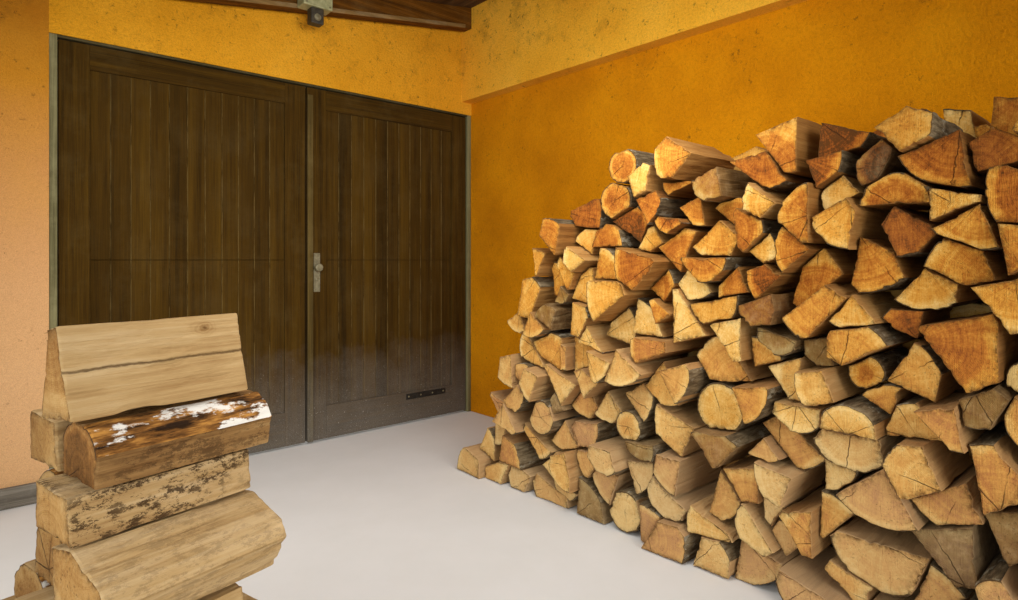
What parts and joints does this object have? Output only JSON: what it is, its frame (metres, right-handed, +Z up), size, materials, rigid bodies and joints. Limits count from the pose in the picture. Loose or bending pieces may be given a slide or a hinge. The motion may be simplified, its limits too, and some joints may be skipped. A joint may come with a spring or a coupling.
{
  "type": "open-fronted log store with boarded double doors",
  "caption": "Open-fronted lean-to log store in the corner of two rendered walls, with boarded double doors, a raftered roof, split firewood stacked along one wall and a small pile.",
  "frame": {"origin": "middle of the footprint of the whole store, at ground level", "axes": "+Z up, +Y towards the wall with the doors, +X towards the wall that the firewood is stacked along"},
  "size_m": [3.762, 4.61, 3.0789],
  "materials": {
    "wall_render": "ochre rough-cast render, matt",
    "band_render": "lighter ochre rough-cast render, matt",
    "weathered_board": "grey weathered softwood",
    "rafter_wood": "dark brown stained softwood",
    "deck_wood": "brown stained boards",
    "fibre_cement": "weathered grey corrugated sheet",
    "zinc_capping": "dull folded sheet metal",
    "concrete": "cast concrete",
    "jamb_paint": "grey-green paint, worn",
    "door_wood": "dark brown stained boards, dusty",
    "strip_wood": "tan stained strip",
    "hinge_steel": "dark forged steel",
    "lock_metal": "aged grey-beige",
    "vent_metal": "dark slotted plate",
    "lamp_metal": "grey-green enamel, weathered",
    "lamp_plastic": "dark aged plastic",
    "split_log": "sawn and split firewood, straw to orange-brown",
    "fresh_split": "freshly split firewood, pale straw"
  },
  "bodies": {
    "store": {"back_wall_lintel": "wall_render", "back_wall_pier": "wall_render", "corner_pier": "wall_render", "door_head_bar": "jamb_paint", "door_jambs": "jamb_paint", "eaves_beam": "rafter_wood", "eaves_fascia": "deck_wood", "eaves_posts": "rafter_wood", "foot_board": "weathered_board", "lamp_box": "lamp_metal", "lamp_holder": "lamp_plastic", "left_hinge_pins": "hinge_steel", "log_course_01": "split_log", "log_course_02": "split_log", "log_course_03": "split_log", "log_course_04": "split_log", "log_course_05": "split_log", "log_course_06": "split_log", "log_course_07": "split_log", "log_course_08": "split_log", "log_course_09": "split_log", "log_course_10": "split_log", "pile_logs_lower": "fresh_split", "pile_logs_upper": "fresh_split", "post_pads": "concrete", "rafter_edge_strips": "rafter_wood", "rafters": "rafter_wood", "right_hinge_pins": "hinge_steel", "roof_battens": "deck_wood", "roof_deck": "deck_wood", "roof_sheets_lower": "fibre_cement", "roof_sheets_upper": "fibre_cement", "side_wall": "wall_render", "side_wall_band": "band_render", "top_edge_board": "deck_wood", "top_edge_capping": "zinc_capping", "verge_boards": "deck_wood", "wall_head_infill": "band_render"},
    "left_leaf": {"left_leaf_boards": "door_wood", "left_leaf_rails": "door_wood", "left_leaf_stiles": "door_wood", "left_leaf_straps": "hinge_steel"},
    "right_leaf": {"right_leaf_boards": "door_wood", "right_leaf_rails": "door_wood", "right_leaf_stiles": "door_wood", "right_leaf_straps": "hinge_steel", "meeting_strip": "strip_wood", "lock_plate": "lock_metal", "door_knob": "lock_metal", "vent_plate": "vent_metal"}
  },
  "joints": [
    {"name": "left_leaf_hinge", "type": "hinge", "parent": "store", "child": "left_leaf", "pos_m": [-0.9795, 2.003, 1.1], "axis": [0, 0, 1], "range_deg": [0, 90]},
    {"name": "right_leaf_hinge", "type": "hinge", "parent": "store", "child": "right_leaf", "pos_m": [1.4205, 2.003, 1.1], "axis": [0, 0, -1], "range_deg": [0, 90]}
  ]
}
